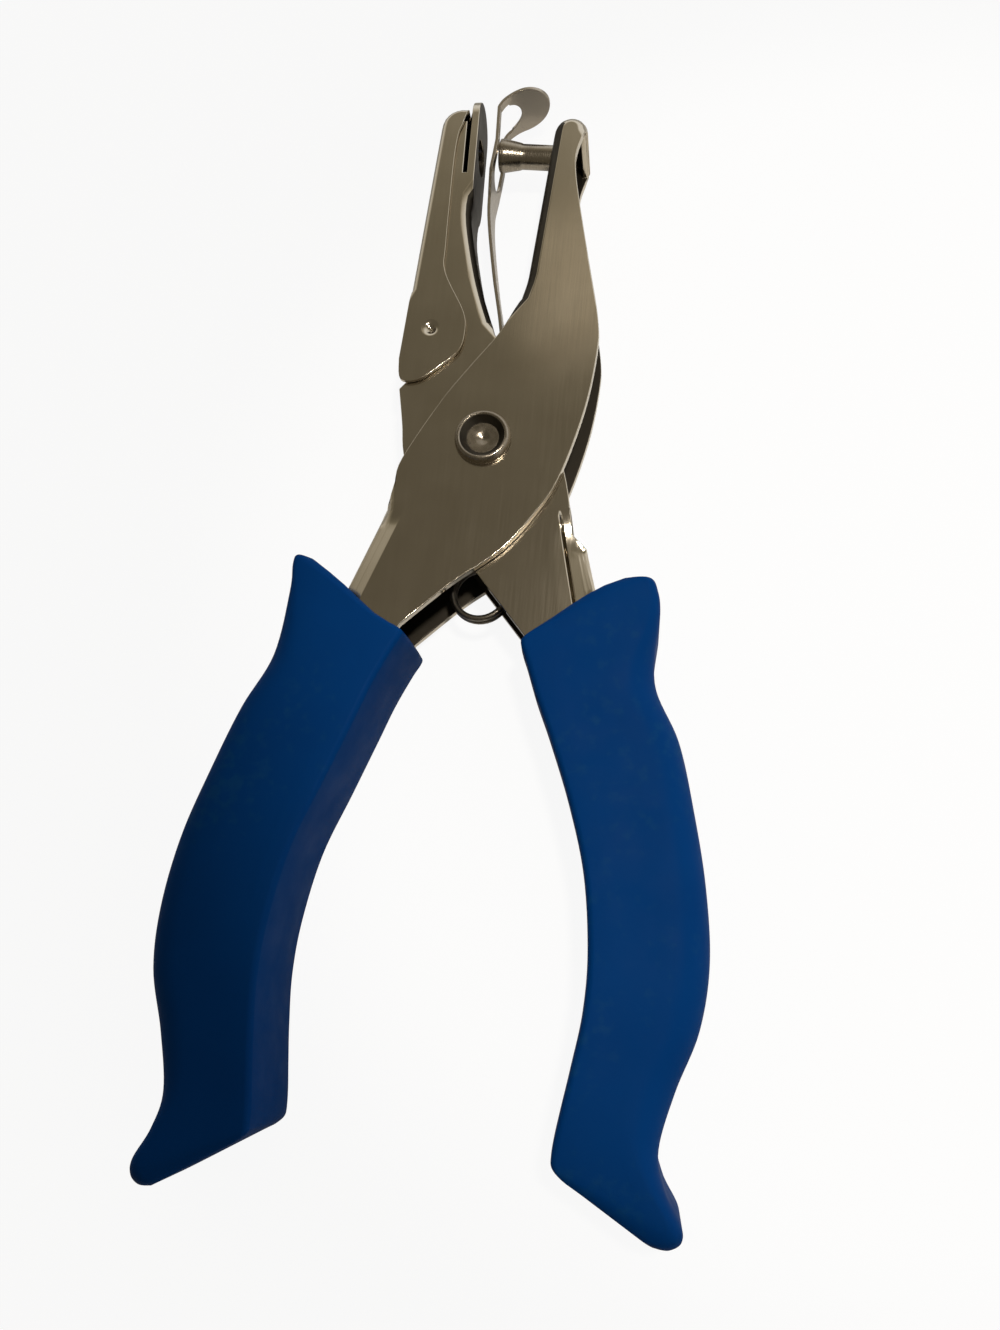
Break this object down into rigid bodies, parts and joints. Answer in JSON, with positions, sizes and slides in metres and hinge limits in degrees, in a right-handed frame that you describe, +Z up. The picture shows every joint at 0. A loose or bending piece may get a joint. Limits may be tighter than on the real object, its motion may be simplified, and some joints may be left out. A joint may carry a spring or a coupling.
{
  "type": "single hole punch",
  "caption": "Plier type hand punch that cuts a round hole in paper: crossed channel levers on a rivet, punch pin, slotted stripper leaf, hinged chip cover and rubber grips.",
  "frame": {"origin": "on the surface it lies on, under the middle of its length and width", "axes": "+Y from the handles to the jaws, +Z up across the levers along the rivet, +X from the die jaw to the punch jaw"},
  "size_m": [0.0708, 0.1649, 0.0155],
  "materials": {
    "lever": "bright nickel plate on pressed steel",
    "cover": "bright nickel plate on thin pressed steel",
    "rivet": "bright nickel plate",
    "pin": "turned hardened steel",
    "spring": "drawn spring wire",
    "leaf": "bright spring strip",
    "grip": "smooth satin dark blue"
  },
  "bodies": {
    "punch_side": {"punch_lever": "lever", "punch_pin": "pin", "left_grip": "grip", "pivot_rivet": "rivet", "return_spring": "spring"},
    "die_side": {"die_lever": "lever", "right_grip": "grip"},
    "cover": {"chip_cover": "cover"},
    "stripper": {"stripper_leaf": "leaf"}
  },
  "joints": [
    {"name": "squeeze", "type": "hinge", "parent": "punch_side", "child": "die_side", "pos_m": [0, 0.0186, 0.00775], "axis": [0, 0, -1], "range_deg": [0, 7], "stiffness_Nm_per_rad": 2, "springref_deg": -11.46, "deforming": ["return_spring"]},
    {"name": "stripper_turn", "type": "hinge", "parent": "punch_side", "child": "stripper", "pos_m": [0, 0.0186, 0.00775], "axis": [0, 0, -1], "range_deg": [0, 6.3]},
    {"name": "cover_swing", "type": "hinge", "parent": "die_side", "child": "cover", "pos_m": [-0.0101, 0.0369, 0.00775], "axis": [0, 0, 1], "range_deg": [0, 30]}
  ],
  "couplings": [
    {"joint": "stripper_turn", "follows": "squeeze", "ratio": 0.9}
  ]
}
